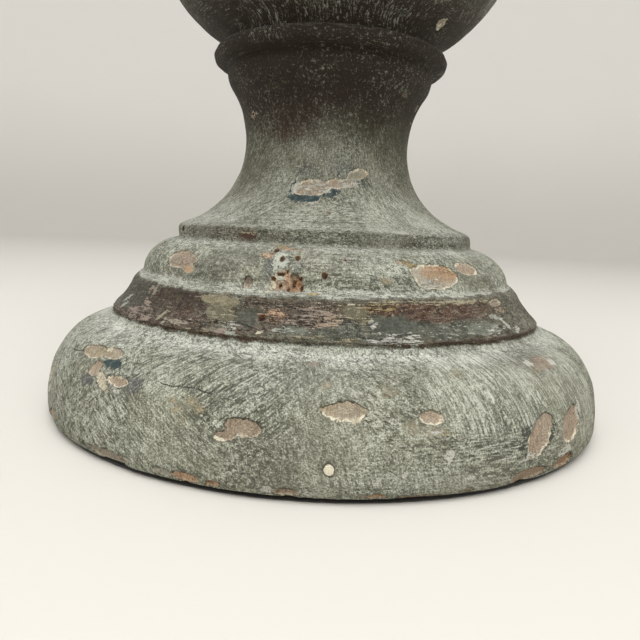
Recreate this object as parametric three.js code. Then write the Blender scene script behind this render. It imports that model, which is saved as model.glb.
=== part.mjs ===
// A turned and painted wooden spire on a round moulded foot, with a felt pad under it.
// Millimetres, +Z up. The origin is on the axis, at the underside of the felt.

import * as THREE from 'three';

const segmentsAround = 40;

// Every radius is from the axis, and every height from the felt's underside.

const felt = {
	thickness: 1.5,
	radius: 114,
};

const foot = {
	standRadius: 114.4, // where the wood meets the felt
	easedRadius: 115,
	easedHeight: 2.3,
	widestRadius: 115.8,
	widestHeight: 8.5,
	domeDepth: 21.6, // how far the dome draws in, measured level
	domeRise: 28.5,
	domeEndAngle: 75, // degrees round the dome from its widest line
	filletStart: [ 96.2, 37.5 ], // radius and height
	filletCorner: [ 92.6, 38.6 ],
	filletEnd: [ 91.5, 40.3 ],
};

const band = {
	undercut: [ 91, 40.6 ],
	nose: [ 91.5, 41.6 ],
	coveStart: [ 90, 43.3 ],
	coveCorner: [ 84.9, 48.3 ],
	coveEnd: [ 83, 52.7 ],
};

const torus = {
	stepCorner: [ 80.95, 55.3 ],
	stepEnd: [ 78.9, 56.4 ],
	centreRadius: 60,
	centreHeight: 55.4,
	depth: 18.9,
	rise: 15.3,
	startAngle: 4,
	endAngle: 79,
};

const neck = {
	filletRadius: 63.6,
	filletBottom: 70.4,
	filletTop: 73.4,
	lipCorner: [ 63.6, 75.8 ],
	lipEnd: [ 61, 76.6 ],
	waistRadius: 35.4,
	waistHeight: 110.5,
	flareDepth: 38.6,
	flareRise: 36,
	flareAngle: 70.3,
	upperDepth: 13.6,
	upperRise: 26,
	upperAngle: 52,
};

const bead = {
	start: [ 40.6, 131 ],
	corner: [ 43.5, 134.5 ],
	end: [ 43.8, 138.9 ],
	quirk: [ 43.2, 141.3 ],
};

const ledge = {
	radius: 49.6,
	edgeRadius: 3.4,
	topHeight: 148.1,
	stem: [ 43.5, 148.5 ],
};

const urn = {
	innerRadius: 34,
	depth: 50,
	bellyHeight: 230.5,
	bowlRise: 80,
	bowlAngle: 77,
	shoulderRise: 62,
	shoulderAngle: 69,
};

const collar = {
	filletRadius: 53.5,
	filletBottom: 289.5,
	filletTop: 293,
	roundCentreRadius: 51,
	roundRadius: 6,
	roundHeight: 299,
	coveTopHeight: 330,
	coveCentreRadius: 50,
	coveDepth: 14,
	coveRise: 22,
	ringCentreRadius: 36.5,
	ringRadius: 4.5,
	ringHeight: 335,
};

const shaft = {
	bottomRadius: 33,
	bottomHeight: 343,
	topRadius: 12.5,
	topHeight: 640,
	swell: 2.2, // how far the taper bulges at mid height
	steps: 6,
};

const tip = {
	ringCentreRadius: 13,
	ringRadius: 5,
	ringHeight: 646,
	stem: [ 9.5, 653.5 ],
	dropRadius: 17.5,
	dropHeight: 676,
	dropRise: 22.5,
	dropStartAngle: - 50,
	dropEndAngle: 35,
	pointCorner: [ 4.6, 708 ],
	pointEnd: [ 2.2, 758 ],
	height: 760,
};

// Points along part of an ellipse in the (radius, height) plane, angles in degrees from level.
function arc( centreRadius, centreHeight, depth, rise, startAngle, endAngle, steps ) {

	const points = [];
	for ( let step = 0; step <= steps; step ++ ) {

		const degrees = startAngle + ( endAngle - startAngle ) * step / steps;
		const angle = THREE.MathUtils.degToRad( degrees );
		const radius = centreRadius + depth * Math.cos( angle );
		const height = centreHeight + rise * Math.sin( angle );
		points.push( [ radius, height ] );

	}

	return points;

}

// A curve that leaves `start` towards `corner` and arrives at `end` from it.
function bend( start, corner, end, steps ) {

	const curve = new THREE.QuadraticBezierCurve(
		new THREE.Vector2( ...start ),
		new THREE.Vector2( ...corner ),
		new THREE.Vector2( ...end )
	);
	return curve.getPoints( steps ).map( ( point ) => point.toArray() );

}

function footProfile() {

	const domeCentre = foot.widestRadius - foot.domeDepth;
	return [
		[ 0, felt.thickness ],
		[ foot.standRadius, felt.thickness ],
		[ foot.easedRadius, foot.easedHeight ],
		...arc(
			domeCentre, foot.widestHeight, foot.domeDepth, foot.domeRise,
			0, foot.domeEndAngle, 9
		),
		...bend( foot.filletStart, foot.filletCorner, foot.filletEnd, 3 ),
	];

}

function bandProfile() {

	return [
		band.undercut,
		band.nose,
		...bend( band.coveStart, band.coveCorner, band.coveEnd, 4 ),
	];

}

function torusProfile() {

	const step = bend( band.coveEnd, torus.stepCorner, torus.stepEnd, 3 );
	const round = arc(
		torus.centreRadius, torus.centreHeight, torus.depth, torus.rise,
		torus.startAngle, torus.endAngle, 7
	);
	return [ ...step.slice( 1, - 1 ), ...round ];

}

function neckProfile() {

	const lip = bend( [ neck.filletRadius, neck.filletTop ], neck.lipCorner, neck.lipEnd, 3 );
	const flare = arc(
		neck.waistRadius + neck.flareDepth, neck.waistHeight,
		- neck.flareDepth, - neck.flareRise,
		neck.flareAngle, 0, 7
	);
	const upper = arc(
		neck.waistRadius + neck.upperDepth, neck.waistHeight,
		- neck.upperDepth, neck.upperRise,
		0, neck.upperAngle, 4
	);
	return [
		[ neck.filletRadius, neck.filletBottom ],
		...lip,
		...flare.slice( 1 ),
		...upper.slice( 1 ),
	];

}

function beadProfile() {

	const round = bend( bead.start, bead.corner, bead.end, 3 );
	return [ ...round.slice( 1 ), bead.quirk ];

}

function ledgeProfile() {

	const edge = arc(
		ledge.radius - ledge.edgeRadius, ledge.topHeight - ledge.edgeRadius,
		ledge.edgeRadius, ledge.edgeRadius,
		- 90, 90, 4
	);
	return [ ...edge, ledge.stem ];

}

function urnProfile() {

	const bowl = arc(
		urn.innerRadius, urn.bellyHeight, urn.depth, urn.bowlRise, - urn.bowlAngle, 0, 8
	);
	const shoulder = arc(
		urn.innerRadius, urn.bellyHeight, urn.depth, urn.shoulderRise, 0, urn.shoulderAngle, 6
	);
	return [ ...bowl, ...shoulder.slice( 1 ) ];

}

function collarProfile() {

	const round = arc(
		collar.roundCentreRadius, collar.roundHeight,
		collar.roundRadius, collar.roundRadius,
		- 60, 90, 5
	);
	const cove = arc(
		collar.coveCentreRadius, collar.coveTopHeight,
		- collar.coveDepth, - collar.coveRise,
		90, 0, 4
	);
	const ring = arc(
		collar.ringCentreRadius, collar.ringHeight,
		collar.ringRadius, collar.ringRadius,
		- 90, 90, 4
	);
	return [
		[ collar.filletRadius, collar.filletBottom ],
		[ collar.filletRadius, collar.filletTop ],
		...round,
		...cove,
		...ring,
	];

}

function shaftProfile() {

	const points = [];
	for ( let step = 0; step <= shaft.steps; step ++ ) {

		const share = step / shaft.steps;
		const taper = THREE.MathUtils.lerp( shaft.bottomRadius, shaft.topRadius, share );
		const radius = taper + shaft.swell * Math.sin( share * Math.PI );
		const height = THREE.MathUtils.lerp( shaft.bottomHeight, shaft.topHeight, share );
		points.push( [ radius, height ] );

	}

	return points;

}

function tipProfile() {

	const ring = arc(
		tip.ringCentreRadius, tip.ringHeight, tip.ringRadius, tip.ringRadius, - 90, 90, 4
	);
	const drop = arc(
		0, tip.dropHeight, tip.dropRadius, tip.dropRise,
		tip.dropStartAngle, tip.dropEndAngle, 5
	);
	const point = bend( drop.at( - 1 ), tip.pointCorner, tip.pointEnd, 4 );
	return [ ...ring, tip.stem, ...drop, ...point.slice( 1 ), [ 0, tip.height ] ];

}

// A profile of [radius, height] points, turned about +Z.
function turn( name, profile, material ) {

	const points = profile.map( ( point ) => new THREE.Vector2( ...point ) );
	const geometry = new THREE.LatheGeometry( points, segmentsAround );
	geometry.rotateX( Math.PI / 2 );
	const mesh = new THREE.Mesh( geometry, material );
	mesh.name = name;
	return mesh;

}

function makeSpire() {

	const paint = new THREE.MeshStandardMaterial( {
		color: 0x7d8070,
		roughness: 0.8,
		metalness: 0,
	} );
	const profile = [
		...footProfile(),
		...bandProfile(),
		...torusProfile(),
		...neckProfile(),
		...beadProfile(),
		...ledgeProfile(),
		...urnProfile(),
		...collarProfile(),
		...shaftProfile(),
		...tipProfile(),
	];
	return turn( 'turned_spire', profile, paint );

}

function makeFelt() {

	const cloth = new THREE.MeshStandardMaterial( {
		color: 0x17181a,
		roughness: 1,
		metalness: 0,
	} );
	const profile = [
		[ 0, 0 ],
		[ felt.radius, 0 ],
		[ felt.radius, felt.thickness ],
		[ 0, felt.thickness ],
	];
	return turn( 'felt_pad', profile, cloth );

}

const spire = new THREE.Group();
spire.add( makeSpire(), makeFelt() );

export default spire;
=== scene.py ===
import math

import bpy
import numpy as np
from mathutils import Matrix


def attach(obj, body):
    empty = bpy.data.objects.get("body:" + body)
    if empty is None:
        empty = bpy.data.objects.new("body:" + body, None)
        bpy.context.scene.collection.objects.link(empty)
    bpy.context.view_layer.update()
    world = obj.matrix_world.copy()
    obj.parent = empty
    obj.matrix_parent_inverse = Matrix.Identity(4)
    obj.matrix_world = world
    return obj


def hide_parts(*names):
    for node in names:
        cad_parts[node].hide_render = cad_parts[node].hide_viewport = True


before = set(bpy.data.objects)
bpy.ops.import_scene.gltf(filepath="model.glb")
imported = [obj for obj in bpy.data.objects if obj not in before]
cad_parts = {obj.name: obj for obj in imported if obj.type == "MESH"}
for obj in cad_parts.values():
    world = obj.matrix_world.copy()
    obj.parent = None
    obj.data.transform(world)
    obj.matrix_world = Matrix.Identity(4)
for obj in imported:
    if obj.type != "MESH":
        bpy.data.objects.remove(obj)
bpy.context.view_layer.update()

mm = 0.001
print("frame loaded:", ", ".join(sorted(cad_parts)))

# Colours of the woods, grounds and paints, matched to small patches of the photograph.
paints = {
    "tan": "a3947a",
    "brownTan": "927e67",
    "greyTan": "a59b8a",
    "oliveTan": "9a927a",
    "pinkTan": "a8947f",
    "peach": "c9a585",
    "orangeWood": "b38a62",
    "rust": "6e4c30",
    "redBrown": "5e463b",
    "cream": "d6cdb3",
    "white": "c9c8bd",
    "paleGrey": "aaaca0",
    "haze": "c0c5b9",
    "ochre": "a08c5a",
    "yellow": "bba468",
    "olive": "7c7860",
    "oliveDark": "605d49",
    "teal": "33484a",
    "tealGrey": "53574c",
    "smudge": "686a69",
    "greyPatch": "64655a",
    "greyGreen": "83897a",
    "pinkGrey": "98877b",
    "orangePink": "a0806a",
    "neckPink": "bca78f",
    "speckTan": "a89e80",
    "bandGrey": "74705f",
    "sootAndShade": "271e12",
    "oliveStrip": "938c72",
    "bandBrown": "513f31",
    "bandOlive": "514d40",
    "bandPurple": "6d5e4e",
    "bandTeal": "54574a",
    "bandRed": "664836",
    "creaseBrownAndShade": "58432f",
    "rimRust": "94704f",
    "patchGrey": "5b5b4f",
    "decayed": "85501f",
    "ringGrey": "b3ab9b",
    "chalkWhite": "cfd2c7",
}


def paint(name):
    # linear colour for a shader socket or a colour attribute
    code = paints.get(name, name)
    parts = [int(code[i:i + 2], 16) / 255 for i in (0, 2, 4)]
    linear = [c / 12.92 if c <= 0.04045 else ((c + 0.055) / 1.055) ** 2.4 for c in parts]
    return (*linear, 1.0)


def wander(points, size, seed):
    # smooth random swell from -1 to 1 at points in mm, the same on every run
    count = 24
    table = np.random.default_rng(seed).uniform(-1, 1, (count, count, count))
    cell = points / size
    low = np.floor(cell).astype(int)
    ease = cell - low
    ease = ease * ease * (3 - 2 * ease)
    total = np.zeros(len(points))
    for corner in range(8):
        step = np.array([corner & 1, corner >> 1 & 1, corner >> 2 & 1])
        weight = np.prod(np.where(step, ease, 1 - ease), axis=1)
        spot = (low + step) % count
        total += weight * table[spot[:, 0], spot[:, 1], spot[:, 2]]
    return total


def rise(value, low, high):
    # 0 below low, 1 above high, eased between
    t = np.clip((value - low) / (high - low), 0, 1)
    return t * t * (3 - 2 * t)


turning = {
    "sharpTurn": 33,         # degrees; gentler turns of the outline are rounded
    "sampleGap": 0.25,       # mm between samples of the outline
    "easeTaps": 6,           # samples that the easing looks at on each side
    "poleGap": 1.2,          # mm from the last row of the skin to the tip
    "travelStep": 0.1,       # mm between the heights that rows are chosen from
    "cornerEase": 0.45,      # mm that paint rounds every corner by
    "frontDraw": 0.45,       # how far columns are drawn to the front
    "extraRows": 1.4,        # more rows where the outline bends
    "runOut": 2.6,           # mm that the neck and all above lean off the foot's axis
    "runOutFrom": 38,        # mm above the felt
    "runOutTo": 96,
    # from mm up the outline: columns round, mm between rows
    "belts": (
        (-100.0, 60, 30.0),
        (-60.0, 120, 24.0),
        (-30.0, 240, 12.0),
        (-6.0, 480, 3.0),
        (0.0, 480, 1.15),
        (50.0, 480, 1.0),
        (101.6, 240, 1.35),
        (181.0, 240, 3.2),
        (363.0, 120, 1.8),
        (434.0, 60, 4.5),
        (732.0, 60, 1.7),
    ),
}


def readOutline(node):
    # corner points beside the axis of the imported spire, in mm, from under its middle to its tip
    mesh = node.data
    near = 2e-6
    joined = {}
    for edge in mesh.edges:
        ends = [mesh.vertices[i].co for i in edge.vertices]
        if all(abs(p.y) < near and p.x > -near for p in ends):
            a, b = [(round(p.x / mm, 3), round(p.z / mm, 3)) for p in ends]
            joined.setdefault(a, set()).add(b)
            joined.setdefault(b, set()).add(a)
    here = min((p for p in joined if p[0] < 0.01), key=lambda p: p[1])
    walk = [here]
    while True:
        onward = [p for p in joined[here] if p not in walk[-2:]]
        if not onward:
            return np.array(walk)
        here = onward[0]
        walk.append(here)


def easeOutline(corners):
    # smooth line through the corner points, sampled evenly: mm up, radius, height
    step = np.diff(corners, axis=0)
    length = np.hypot(step[:, 0], step[:, 1])
    way = step / length[:, None]
    reach = np.concatenate([[0], np.cumsum(length)]) - length[0]
    leave = way.copy()
    arrive = way.copy()
    for i in range(1, len(step)):
        turn = math.degrees(math.acos(np.clip(way[i - 1] @ way[i], -1, 1)))
        if turn < turning["sharpTurn"]:
            middle = way[i - 1] * length[i] + way[i] * length[i - 1]
            middle /= np.hypot(middle[0], middle[1])
            leave[i] = middle
            arrive[i - 1] = middle
    up = np.arange(reach[0], reach[-1], turning["sampleGap"])
    part = np.clip(np.searchsorted(reach, up, side="right") - 1, 0, len(step) - 1)
    t = ((up - reach[part]) / length[part])[:, None]
    span = length[part][:, None]
    line = (
        (2 * t**3 - 3 * t**2 + 1) * corners[part]
        + (t**3 - 2 * t**2 + t) * span * leave[part]
        + (3 * t**2 - 2 * t**3) * corners[part + 1]
        + (t**3 - t**2) * span * arrive[part]
    )
    width = turning["cornerEase"] / turning["sampleGap"]
    taps = turning["easeTaps"]
    tap = np.arange(-taps, taps + 1)
    kernel = np.exp(-0.5 * (tap / width) ** 2)
    kernel /= kernel.sum()
    padded = np.pad(line, ((taps, taps), (0, 0)), mode="edge")
    eased = np.stack([np.convolve(padded[:, k], kernel, "valid") for k in (0, 1)], axis=1)
    start = taps + 2  # the underside's middle stays as it was read
    eased[:start] = line[:start]
    return up, eased[:, 0], eased[:, 1]


corners = readOutline(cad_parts["turned_spire"])
lineUp, lineRadius, lineHeight = easeOutline(corners)
slopeR = np.gradient(lineRadius, lineUp)
slopeZ = np.gradient(lineHeight, lineUp)
slopeLength = np.hypot(slopeR, slopeZ)
normalR = slopeZ / slopeLength
normalZ = -slopeR / slopeLength
bend = np.gradient(np.unwrap(np.arctan2(slopeZ, slopeR)), lineUp)  # convex is above 0
print("outline read:", len(corners), "corners,", round(lineUp[-1]), "mm up its side")


def placeRows():
    # heights up the outline for the rows of the skin, with their column counts
    rows = []
    belts = turning["belts"]
    step = turning["travelStep"]
    ends = [belt[0] for belt in belts[1:]] + [lineUp[-1] - turning["poleGap"]]
    for (start, columns, gap), end in zip(belts, ends):
        fine = np.arange(start, end, step)
        crowd = 1 + turning["extraRows"] * np.clip(np.abs(np.interp(fine, lineUp, bend)), 0, 1)
        travel = np.concatenate([[0], np.cumsum(crowd[:-1] * step / gap)])
        count = max(1, round(travel[-1]))
        wanted = np.arange(count) * travel[-1] / count
        rows += [(float(np.interp(w, travel, fine)), columns) for w in wanted]
    return rows


def weaveSkin(rows):
    # vertices of every ring and the faces between them; poles close both ends
    rings = []
    first = 1
    for up, columns in rows:
        turn = -math.pi + 2 * math.pi * np.arange(columns) / columns
        rings.append((up, turn, first))
        first += columns
    pole = first
    n, a = len(rings[0][1]), rings[0][2]
    faces = [(0, a + (j + 1) % n, a + j) for j in range(n)]
    for (_, turnA, a), (_, turnB, b) in zip(rings, rings[1:]):
        n, m = len(turnA), len(turnB)
        for j in range(min(n, m)):
            if n == m:
                k = (j + 1) % n
                faces.append((a + j, a + k, b + k, b + j))
            elif n > m:
                p, q, r = [a + (2 * j + i) % n for i in range(3)]
                u, v = b + j, b + (j + 1) % m
                faces += [(p, q, u), (q, v, u), (q, r, v)]
            else:
                p, q = a + j, a + (j + 1) % n
                u, v, w = [b + (2 * j + i) % m for i in range(3)]
                faces += [(p, v, u), (p, q, v), (q, w, v)]
    n, a = len(rings[-1][1]), rings[-1][2]
    faces += [(a + j, a + (j + 1) % n, pole) for j in range(n)]
    up = np.concatenate([[lineUp[0]]] + [np.full(len(t), u) for u, t, _ in rings] + [[lineUp[-1]]])
    turn = np.concatenate([[0.0]] + [t for _, t, _ in rings] + [[0.0]])
    return up, turn, faces


rows = placeRows()
up, turn, skinFaces = weaveSkin(rows)
theta = turn - turning["frontDraw"] * np.sin(turn)
radius = np.interp(up, lineUp, lineRadius)
radius[0] = 0
radius[-1] = 0
height = np.interp(up, lineUp, lineHeight)
outR = np.interp(up, lineUp, normalR)
outZ = np.interp(up, lineUp, normalZ)
degrees = np.degrees(theta)

# A radius that changes only at the creases keeps brush strokes whole on each moulding.
spanEdges = (0, 50.5, 72, 94, 101.6, 181, 196, 363, 390, 434, 864)
spanRadii = (110, 110, 86, 76, 63, 45, 50, 74, 54, 40, 24)
sweepRadius = np.interp(up, spanEdges, spanRadii)
sweep = np.stack([sweepRadius * np.sin(theta), -sweepRadius * np.cos(theta), up], axis=1)
print("skin woven:", len(up), "points,", len(skinFaces), "faces")


marking = {
    "leastRadius": 2.0,   # mm, so that marks near the tip stay whole
    "farOff": -9.0,       # what an edge field reads away from its marks
    "margin": 8.0,        # mm around a mark that its field is worked out for
    "coarse": (0.9, 0.8),  # scale of its unevenness: share of its half width, plus mm
    "fine": (0.35, 0.5),
    "chipWobble": 0.2,    # how far an oval strays from its outline
    "stainWobble": 0.25,
    "scabWobble": 0.3,
    "pitWobble": 0.4,
    "chipDraw": 3,        # each kind's first random draw
    "patchDraw": 60,
    "pitDraw": 120,
    "usualWhole": 0.75,   # most patches are a little broken
}


def around(where):
    # mm round and mm up from a mark's middle, for every point of the skin
    at = np.interp(where[1], lineUp, lineRadius)
    off = (theta - math.radians(where[0]) + math.pi) % (2 * math.pi) - math.pi
    return off * max(at, marking["leastRadius"]), up - where[1]


def nearness(where, size):
    # 0 at a mark's middle, 1 on its oval edge
    across, rising = around(where)
    return np.hypot(across / (0.5 * size[0]), rising / (0.5 * size[1]))


def inside(where, size, lean, wobble, seed):
    # mm inside (above 0) an uneven oval
    across, rising = around(where)
    reach = 0.5 * max(size) + marking["margin"]
    near = (np.abs(across) < reach) & (np.abs(rising) < reach)
    far = marking["farOff"]
    depth = np.full(len(up), far)
    if not near.any():
        return depth
    x, y = across[near], rising[near]
    c, s = math.cos(math.radians(lean)), math.sin(math.radians(lean))
    p, q = x * c + y * s, y * c - x * s
    a, b = size[0] / 2, size[1] / 2
    flatSpots = np.stack([x, y, np.full(len(x), seed * 7.3)], axis=1)
    coarse, fine = [
        wander(flatSpots, marking[kind][0] * min(a, b) + marking[kind][1], draw)
        for kind, draw in (("coarse", 11), ("fine", 12))
    ]
    ratio = np.hypot(p / a, q / b) * (1 + wobble * coarse + 0.5 * wobble * fine)
    slope = np.hypot(p / a**2, q / b**2) / np.maximum(ratio, 1e-3)
    depth[near] = np.clip((1 - ratio) / np.maximum(slope, 1 / a), far, -far)
    return depth


def chip(where, size, lean=0, tint="tan", rim=0.6, ring=0.0, depth=0.7):
    # paint lost down to wood or ground; ring is how far its pale rim runs round past the bottom
    return dict(where=where, size=size, lean=lean, tint=tint, rim=rim, ring=ring, depth=depth)


# The marks below are where the real spire has them: degrees round, then mm up the outline.
# Many were first read as pixels and turned into these units outside this script; the rest, and
# all later changes, are by hand. Sizes are in mm, width then height.
footChips = [
    chip((-46.4, 33.2), (16.0, 5.4), 3, "tan", 0.8, 0.3),
    chip((-40.8, 34.8), (11.5, 5.0), -4, "tan", 0.8, 0.3),
    chip((-42.2, 27.6), (6.4, 5.6), 20, "pinkTan", 0.5, 0.4),
    chip((-34.8, 26.2), (9.6, 3.6), -2, "pinkTan", 0.9, 0.7),
    chip((-39.0, 25.2), (7.6, 3.4), -34, "cream", 0.3, 1.0, 0.5),
    chip((-37.0, 22.8), (5.6, 1.8), -34, "cream", 0.3, 1.0, 0.4),
    chip((-10.9, 19.6), (11.5, 5.0), -8, "brownTan", 0.5),
    chip((-13.3, 16.6), (7.4, 3.2), 8, "brownTan", 1.0),
    chip((3.7, 26.1), (12.8, 5.8), 0, "tan", 1.0),
    chip((5.2, 23.2), (3.0, 1.8), 15, "cream", 0.2, 1.0, 0.5),
    chip((16.4, 23.9), (8.4, 4.4), -8, "pinkTan", 1.0, 0.3),
    chip((36.8, 14.6), (17.5, 8.4), 44, "pinkTan", 1.0, 0.2),
    chip((46.6, 15.0), (13.5, 9.6), 32, "pinkTan", 1.0, 0.3),
    chip((-63.5, 16.4), (9.0, 6.6), 0, "peach", 0.5, 0.6, 0.9),
    chip((-60.5, 12.6), (3.0, 5.0), 0, "cream", 0.5, 0.6, 0.5),
    chip((60.4, 10.6), (4.0, 4.4), 0, "cream", 0.6, 1.0, 0.6),
]
rimBites = [
    chip((-57.2, 3.4), (15.0, 4.4), 8, "peach", 0.4, 0.0, 0.9),
    chip((-63.0, 1.6), (3.0, 3.4), 0, "redBrown", 0.0, 0.0, 1.4),
    chip((-52.6, 1.2), (2.4, 2.4), 0, "redBrown", 0.0, 0.0, 1.4),
    chip((-48.6, 1.8), (2.0, 2.6), 0, "redBrown", 0.0, 0.0, 1.4),
    chip((-41.2, 2.5), (1.5, 2.4), 0, "redBrown", 0.0, 0.0, 1.4),
    chip((-34.9, 1.9), (19.0, 4.4), -3, "greyTan", 0.5, 0.0, 1.0),
    chip((-30.2, 2.8), (3.4, 2.0), -20, "white", 0.0, 1.0, 0.5),
    chip((-23.3, 2.4), (7.4, 3.4), -6, "paleGrey", 0.3, 0.0, 0.8),
    chip((-19.2, 2.0), (9.4, 3.8), -6, "peach", 0.3, 0.0, 1.0),
    chip((-14.8, 1.8), (4.6, 2.8), 0, "orangeWood", 0.3, 0.0, 1.0),
    chip((-6.9, 2.5), (4.2, 2.6), 0, "white", 0.0, 1.0, 0.6),
    chip((-4.1, 1.7), (7.8, 3.4), 0, "pinkTan", 0.4, 0.0, 1.0),
    chip((-2.3, 2.7), (1.5, 1.7), 0, "white", 0.0, 1.0, 0.5),
    chip((6.3, 1.6), (3.6, 1.6), 0, "pinkTan", 0.2, 0.0, 0.7),
    chip((8.4, 1.2), (4.6, 2.4), 0, "orangeWood", 0.3, 0.0, 1.0),
    chip((14.3, 0.6), (12.5, 1.5), 0, "brownTan", 0.1, 0.0, 0.6),
    chip((22.4, 1.2), (4.4, 1.6), 0, "rust", 0.1, 0.0, 0.8),
    chip((34.4, 2.2), (16.0, 5.2), 3, "rimRust", 0.4, 0.0, 1.1),
    chip((44.0, 3.0), (14.0, 4.6), 4, "rimRust", 0.4, 0.0, 1.1),
]
torusChips = [
    chip((-38.0, 75.8), (6.6, 3.8), 0, "speckTan", 0.5, 0.8, 0.5),
    chip((-43.0, 79.3), (16.5, 8.0), 0, "pinkTan", 0.6, 0.5),
    chip((-18.8, 72.9), (3.2, 4.6), 0, "redBrown", 0.4, 0.0, 1.2),
    chip((-10.6, 74.6), (5.0, 7.6), -16, "decayed", 0.3, 0.4, 1.2),
    chip((-7.4, 73.2), (6.6, 5.4), 14, "decayed", 0.2, 0.0, 1.3),
    chip((20.4, 83.2), (3.0, 2.2), 0, "brownTan", 0.3, 0.6, 0.6),
    chip((29.9, 77.3), (19.0, 10.2), -3, "ringGrey", 0.9, 0.8),
    chip((31.0, 78.8), (15.0, 6.6), -6, "orangeWood", 0.4, 0.3, 0.8),
    chip((43.0, 80.6), (13.5, 5.8), -6, "pinkTan", 0.9, 1.0, 0.6),
]
bandChips = [
    chip((49.0, 66.4), (9.0, 3.4), 0, "pinkTan", 0.8, 1.0, 0.6),
]
neckChips = [
    chip((-7.8, 126.0), (13.4, 7.4), 3, "neckPink", 0.9, 1.0),
    chip((8.4, 128.4), (14.0, 4.6), 6, "neckPink", 0.9, 1.0, 0.5),
    chip((19.6, 132.9), (8.8, 4.2), 20, "speckTan", 0.9, 1.0, 0.5),
    chip((77.0, 164.0), (4.0, 3.4), 0, "brownTan", 0.0, 0.0, 0.9),
    chip((76.0, 157.5), (3.0, 2.6), 0, "brownTan", 0.0, 0.0, 0.8),
]

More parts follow.
